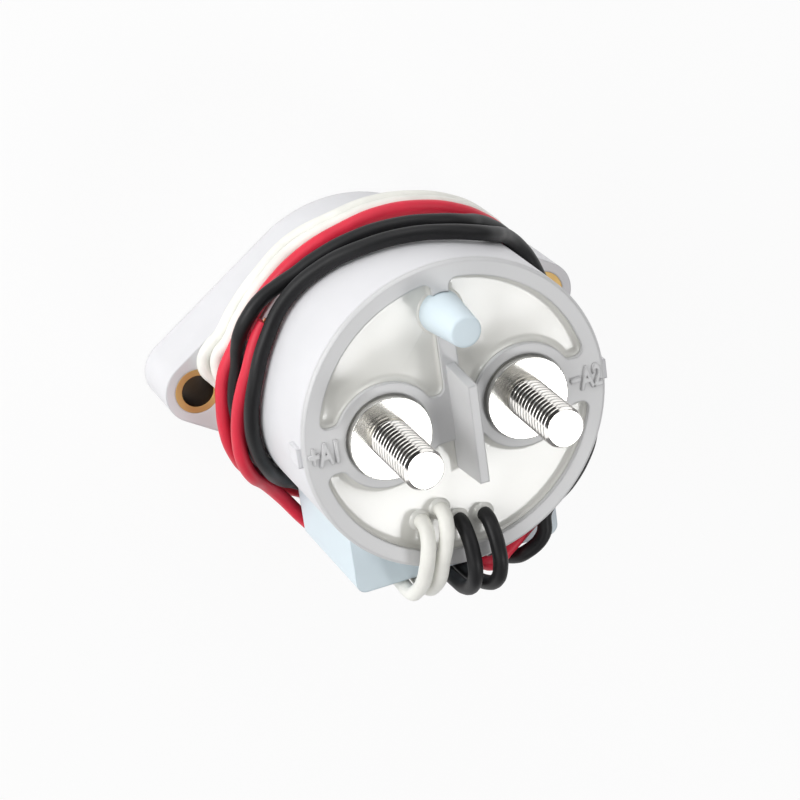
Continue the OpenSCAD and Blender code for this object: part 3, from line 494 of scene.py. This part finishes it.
# Potting: cream resin poured into the three pockets of the cover.
# It wets the walls, the leads and the cap, so each pool has a raised, rounded edge.
pool_top, edge_rise, weld = 0.0533, 0.0008, 0.000002
edge_steps = ((0.00022, -0.00042), (0.00028, -0.00024), (0.00036, -0.0001), (0.0005, -0.00004))
lead_collar, cap_collar = (0.00142, 0.0022, 0.0006), (0.0041, 0.0046, 0.0003)
resin_skin = moulded_plastic("cream_resin", colour=(0.74, 0.735, 0.695), roughness=0.20,
                             edge=0.0002, grain_depth=0.00002, shade=0.97)
resin_nodes, resin_links = resin_skin.node_tree.nodes, resin_skin.node_tree.links
resin_face = resin_nodes["Principled BSDF"]
resin_face.inputs["Coat Weight"].default_value = 0.7
resin_face.inputs["Coat Roughness"].default_value = 0.12
pour_place = resin_nodes.new("ShaderNodeTexCoord")
pour = resin_nodes.new("ShaderNodeTexNoise")
pour.inputs["Scale"].default_value = 75
pour.inputs["Detail"].default_value = 1
swell = resin_nodes.new("ShaderNodeBump")
swell.inputs["Strength"].default_value = 0.7
swell.inputs["Distance"].default_value = 0.0006
fine_grain = next(node for node in resin_nodes if node.type == "BUMP" and node != swell)
resin_links.new(pour_place.outputs["Object"], pour.inputs["Vector"])
resin_links.new(pour.outputs["Fac"], swell.inputs["Height"])
resin_links.new(fine_grain.outputs["Normal"], swell.inputs["Normal"])
resin_links.new(swell.outputs["Normal"], resin_face.inputs["Normal"])
bpy.ops.object.select_all(action="DESELECT")
resin = part["potting"].copy()
resin.data = part["potting"].data.copy()
resin.name = "resin_pools"
for key in list(resin.keys()):
    del resin[key]
resin.parent = None
scene.collection.objects.link(resin)
resin.select_set(True)
bpy.context.view_layer.objects.active = resin
bpy.ops.object.mode_set(mode="EDIT")
bpy.ops.mesh.select_mode(type="VERT")
bpy.ops.mesh.select_all(action="SELECT")
bpy.ops.mesh.remove_doubles(threshold=weld)
bpy.ops.mesh.select_mode(type="FACE")
bpy.ops.mesh.select_all(action="DESELECT")
pools = bmesh.from_edit_mesh(resin.data)
for face in pools.faces:
    face.select_set(face.normal.z > 0.9 and face.calc_center_median().z > pool_top - 0.0002)
bmesh.update_edit_mesh(resin.data)
bpy.ops.transform.translate(value=(0, 0, edge_rise))
for step, fall in edge_steps:
    bpy.ops.mesh.inset(thickness=step, depth=fall, use_boundary=True, use_even_offset=True)
bpy.ops.object.mode_set(mode="OBJECT")
for spot_x, spot_y, (inner, outer, climb) in (
        (-0.0094, -0.0194, lead_collar), (-0.0053, -0.0183, lead_collar),
        (-0.0019, -0.0215, lead_collar), (0.0032, -0.0219, lead_collar),
        (0, 0.0204, cap_collar)):
    neck = outer * 0.35 + inner * 0.65
    bpy.ops.object.select_all(action="DESELECT")
    bpy.ops.mesh.primitive_cone_add(
        vertices=32, radius1=outer, radius2=neck, depth=climb * 0.4,
        location=(spot_x, spot_y, pool_top + climb * 0.2))
    collar = bpy.context.object
    bpy.ops.object.mode_set(mode="EDIT")
    bpy.ops.mesh.select_mode(type="FACE")
    bpy.ops.mesh.select_all(action="DESELECT")
    collar_mesh = bmesh.from_edit_mesh(collar.data)
    for face in collar_mesh.faces:
        face.select_set(face.normal.z > 0.9)
    bmesh.update_edit_mesh(collar.data)
    bpy.ops.mesh.extrude_region_move(TRANSFORM_OT_translate={"value": (0, 0, climb * 0.6)})
    bpy.ops.transform.resize(value=(inner / neck, inner / neck, 1),
                             center_override=(spot_x, spot_y, pool_top + climb))
    bpy.ops.object.mode_set(mode="OBJECT")
    bpy.ops.object.transform_apply(location=True, rotation=True, scale=True)
    resin.select_set(True)
    bpy.context.view_layer.objects.active = resin
    bpy.ops.object.join()
resin.data.materials.clear()
resin.data.materials.append(resin_skin)
bpy.ops.object.shade_smooth_by_angle(angle=math.radians(40))
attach(resin, "housing")
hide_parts("potting")

# Power terminals: turned copper posts with polished, plated contact pads.
# They pass through the cover and the ceramic, and the pads carry the cable lugs.
plating = metal(
    "polished_plating", colour=(0.86, 0.85, 0.81), roughness=0.17, edge=0.00035, streak=1)
dress("positive_terminal", plating)
dress("negative_terminal", plating)

# Terminal studs: plated M8 steel studs, rolled thread, chamfered at the tip.
# Each stands on its pad with its shank brazed into the post.
stud_foot, stud_tip = 0.0566, 0.0723
thread_pitch, thread_root, thread_turns, turn_steps = 0.00125, 0.003245, 17, 40
thread_profile = (
    (0, 0.00006), (0.00063, 0.000364), (0.000075, 0.000075), (0.00003, 0.00006), (0, 0.000132),
    (-0.00003, 0.00006), (-0.000075, 0.000075), (-0.00063, 0.000364), (0, 0.00006))
blank_radius, blank_length, tip_chamfer = 0.0044, 0.018, 0.0009
weld, cut_weld = 0.000002, 0.0000005
stud_finish = metal(
    "plated_stud_steel", colour=(0.82, 0.80, 0.77), roughness=0.13, edge=0.00006, streak=3)
for stud_name, stud_x in (("positive_stud_thread", -0.0137), ("negative_stud_thread", 0.0137)):
    bpy.ops.object.select_all(action="DESELECT")
    bpy.ops.mesh.primitive_plane_add(size=0.001, location=(0, 0, 0))
    stud = bpy.context.object
    stud.name = stud_name
    bpy.ops.object.mode_set(mode="EDIT")
    bpy.ops.mesh.select_mode(type="VERT")
    bpy.ops.mesh.select_all(action="SELECT")
    bpy.ops.mesh.merge(type="CENTER")
    bpy.ops.transform.translate(value=(thread_root, 0, stud_foot - 2 * thread_pitch))
    for across, up in thread_profile:
        bpy.ops.mesh.extrude_region_move(TRANSFORM_OT_translate={"value": (across, 0, up)})
    bpy.ops.object.mode_set(mode="OBJECT")
    winding = stud.modifiers.new("thread", "SCREW")
    winding.axis = "Z"
    winding.angle = math.radians(360)
    winding.screw_offset = thread_pitch
    winding.iterations = thread_turns
    winding.steps = turn_steps
    winding.render_steps = turn_steps
    winding.use_merge_vertices = True
    winding.merge_threshold = weld
    bpy.ops.object.modifier_apply(modifier="thread")
    bpy.ops.object.mode_set(mode="EDIT")
    bpy.ops.mesh.select_all(action="SELECT")
    bpy.ops.mesh.remove_doubles(threshold=weld)
    bpy.ops.mesh.select_all(action="SELECT")
    bpy.ops.mesh.bisect(plane_co=(0, 0, stud_foot), plane_no=(0, 0, 1), use_fill=True,
                        clear_inner=True, threshold=cut_weld)
    bpy.ops.mesh.select_all(action="SELECT")
    bpy.ops.mesh.bisect(plane_co=(0, 0, stud_tip), plane_no=(0, 0, 1), use_fill=True,
                        clear_outer=True, threshold=cut_weld)
    bpy.ops.mesh.select_all(action="SELECT")
    bpy.ops.mesh.normals_make_consistent(inside=False)
    bpy.ops.object.mode_set(mode="OBJECT")
    bpy.ops.object.select_all(action="DESELECT")
    bpy.ops.mesh.primitive_cylinder_add(
        vertices=64, radius=blank_radius, depth=blank_length,
        location=(0, 0, stud_tip - blank_length / 2))
    blank = bpy.context.object
    bpy.ops.object.mode_set(mode="EDIT")
    bpy.ops.mesh.select_mode(type="EDGE")
    bpy.ops.mesh.select_all(action="DESELECT")
    blank_mesh = bmesh.from_edit_mesh(blank.data)
    for edge in blank_mesh.edges:
        edge.select_set(all(v.co.z > blank_length / 2 - 0.0001 for v in edge.verts))
    bmesh.update_edit_mesh(blank.data)
    bpy.ops.mesh.bevel(offset=tip_chamfer, segments=1, affect="EDGES")
    bpy.ops.object.mode_set(mode="OBJECT")
    bpy.ops.object.select_all(action="DESELECT")
    stud.select_set(True)
    bpy.context.view_layer.objects.active = stud
    chamfer = stud.modifiers.new("chamfer", "BOOLEAN")
    chamfer.operation = "INTERSECT"
    chamfer.solver = "EXACT"
    chamfer.object = blank
    bpy.ops.object.modifier_apply(modifier="chamfer")
    bpy.data.objects.remove(blank)
    stud.location = (stud_x, 0, 0)
    bpy.ops.object.transform_apply(location=True, rotation=True, scale=True)
    stud.data.materials.clear()
    stud.data.materials.append(stud_finish)
    bpy.ops.object.shade_smooth_by_angle(angle=math.radians(28))
    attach(stud, "housing")
    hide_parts("terminal_studs")

# Filling tube: annealed copper, pinched and welded shut once the gas is in.
# It is brazed into the ceramic and hidden by its cap.
copper_finish = metal(
    "bare_copper", colour=(0.66, 0.32, 0.20), roughness=0.26, edge=0.0002, streak=4)
dress("fill_tube", copper_finish)

# Filling tube cap: a tapered, moulded plastic cover pushed over the tube.
# Light blue, smooth, with a rounded closed end.
cap_foot, cap_top, cap_y = 0.0533, 0.0653, 0.0204
foot_radius, top_radius, top_round = 0.0042, 0.0030, 0.0005
socket_radius, socket_depth = 0.00226, 0.00906
blue_plastic = moulded_plastic("light_blue_plastic", colour=(0.69, 0.79, 0.845), roughness=0.34,
                               edge=0.0005, grain_depth=0.00004, shade=0.96)
blue_face = blue_plastic.node_tree.nodes["Principled BSDF"]
blue_face.inputs["Specular IOR Level"].default_value = 0.22
bpy.ops.object.select_all(action="DESELECT")
bpy.ops.mesh.primitive_cone_add(
    vertices=64, radius1=foot_radius, radius2=top_radius, depth=cap_top - cap_foot,
    location=(0, cap_y, (cap_foot + cap_top) / 2))
cap = bpy.context.object
cap.name = "filling_cap"
bpy.ops.object.mode_set(mode="EDIT")
bpy.ops.mesh.select_mode(type="FACE")
bpy.ops.mesh.select_all(action="DESELECT")
cap_mesh = bmesh.from_edit_mesh(cap.data)
for face in cap_mesh.faces:
    face.select_set(face.normal.z < -0.9)
bmesh.update_edit_mesh(cap.data)
bpy.ops.mesh.inset(thickness=foot_radius - socket_radius, depth=0)
bpy.ops.mesh.extrude_region_move(TRANSFORM_OT_translate={"value": (0, 0, socket_depth)})
bpy.ops.mesh.select_mode(type="EDGE")
bpy.ops.mesh.select_all(action="DESELECT")
cap_mesh = bmesh.from_edit_mesh(cap.data)
for edge in cap_mesh.edges:
    edge.select_set(all(v.co.z > (cap_top - cap_foot) / 2 - 0.0001 for v in edge.verts))
bmesh.update_edit_mesh(cap.data)
bpy.ops.mesh.bevel(offset=top_round, segments=4, affect="EDGES")
bpy.ops.object.mode_set(mode="OBJECT")
bpy.ops.object.transform_apply(location=True, rotation=True, scale=True)
cap.data.materials.clear()
cap.data.materials.append(blue_plastic)
bpy.ops.object.shade_smooth_by_angle(angle=math.radians(35))
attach(cap, "housing")
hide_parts("fill_tube_cap")

# Side box: moulded light blue cover for the coil electronics.
# It is glued against the round case and closed at the top and bottom.
dress("economizer_box", blue_plastic)

# Coil electronics: a glass-epoxy board with two moulded power devices.
# The board stands inside the outer face of the side box.
dress("economizer_board", moulded_plastic(
    "green_board", colour=(0.03, 0.20, 0.08), roughness=0.35, edge=0.0001, grain_depth=0.00003))
black_plastic = moulded_plastic(
    "black_moulding", colour=(0.02, 0.02, 0.022), roughness=0.45, edge=0.0003, grain_depth=0.00006)
dress("board_components", black_plastic)

# Arc chamber and header: alumina ring and disc brazed together under the cover.
# Off-white, matt, with a fine fired grain.
alumina = moulded_plastic(
    "fired_alumina", colour=(0.74, 0.71, 0.66), roughness=0.55, edge=0.0003, grain_depth=0.00008)
dress("arc_chamber", alumina)
dress("ceramic_header", alumina)

# Blowout magnets: two sintered ferrite blocks beside the contacts.
# Dark grey, ground on their faces.
dress("blowout_magnets", moulded_plastic(
    "sintered_ferrite", colour=(0.05, 0.05, 0.052), roughness=0.55, edge=0.0003,
    grain_depth=0.00008))

# Sealed switch block: the moulded reed switch for the auxiliary circuit.
# It lies on the pole plate beside the contact spring.
dress("aux_switch", black_plastic)

# Contacts: silver alloy tips on the posts and on the copper contact bridge.
# The bridge slides on the drive shaft under its spring.
silver_alloy = metal(
    "silver_alloy", colour=(0.80, 0.78, 0.74), roughness=0.32, edge=0.0002, streak=1)
dress("fixed_contact_tips", silver_alloy)
dress("moving_contact_tips", silver_alloy)
dress("contact_bridge", copper_finish)

# Springs: cold-wound music wire with closed, ground ends.
# The return spring opens the contacts, the contact spring presses them together.
spring_steel = metal(
    "spring_steel", colour=(0.40, 0.40, 0.41), roughness=0.30, edge=0.0001, streak=1)
turn_points = 24
for (spring_name, spring_node, spring_body, foot, height, across, wire, turns,
     joint, anchor_z, keep) in (
        ("wound_return_spring", "return_spring", "housing", 0.012375, 0.00995, 0.008, 0.0008, 4,
         "armature_slide", 0.022325, 0.859),
        ("wound_contact_spring", "contact_spring", "armature", 0.033075, 0.00495, 0.009, 0.001, 2,
         "bridge_wipe", 0.033075, 0.899)):
    coil_radius = (across - wire) / 2
    coil = bpy.data.curves.new(spring_name, "CURVE")
    coil.dimensions = "3D"
    coil.bevel_depth = wire / 2
    coil.bevel_resolution = 3
    coil.use_fill_caps = True
    helix = coil.splines.new("POLY")
    helix.points.add((turns + 2) * turn_points)
    for i, spot in enumerate(helix.points):
        lift = min(max((i / turn_points - 1) / turns, 0), 1)
        spot.co = (coil_radius * math.cos(2 * math.pi * i / turn_points),
                   coil_radius * math.sin(2 * math.pi * i / turn_points),
                   foot + wire / 2 + (height - wire) * lift, 1)
    spiral = bpy.data.objects.new(spring_name, coil)
    scene.collection.objects.link(spiral)
    bpy.ops.object.select_all(action="DESELECT")
    spiral.select_set(True)
    bpy.context.view_layer.objects.active = spiral
    bpy.ops.object.convert(target="MESH")
    spiral = bpy.context.object
    spiral.data.materials.clear()
    spiral.data.materials.append(spring_steel)
    bpy.ops.object.shade_smooth_by_angle(angle=math.radians(40))
    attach(spiral, spring_body)
    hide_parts(spring_node)
    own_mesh(spiral)

# Drive shaft, clip and core tube: turned stainless steel.
# The shaft is pressed into the plunger and carries the bridge between its collar and the clip.
stainless = metal(
    "turned_stainless", colour=(0.60, 0.59, 0.57), roughness=0.25, edge=0.0002, streak=5)
dress("drive_shaft", stainless)
dress("shaft_clip", spring_steel)
dress("core_tube", stainless)

# Magnet iron: plunger, fixed core, pole plate and yoke of soft iron, nickel plated.
# The yoke is a drawn cup that stands on the case floor and carries the pole plate.
soft_iron = metal(
    "soft_iron", colour=(0.42, 0.41, 0.40), roughness=0.36, edge=0.0003, streak=2)
for iron_piece in ("plunger", "fixed_core", "pole_plate", "yoke"):
    dress(iron_piece, soft_iron)

# Coil: enamelled copper wire wound on a moulded bobbin.
# It sits between the yoke floor and the pole plate round the core tube.
dress("bobbin", moulded_plastic(
    "bobbin_plastic", colour=(0.70, 0.68, 0.60), roughness=0.45, edge=0.0003, grain_depth=0.00006))
dress("coil_winding", metal(
    "enamelled_wire", colour=(0.42, 0.16, 0.07), roughness=0.35, edge=0.0002, streak=60))

bpy.context.view_layer.update()
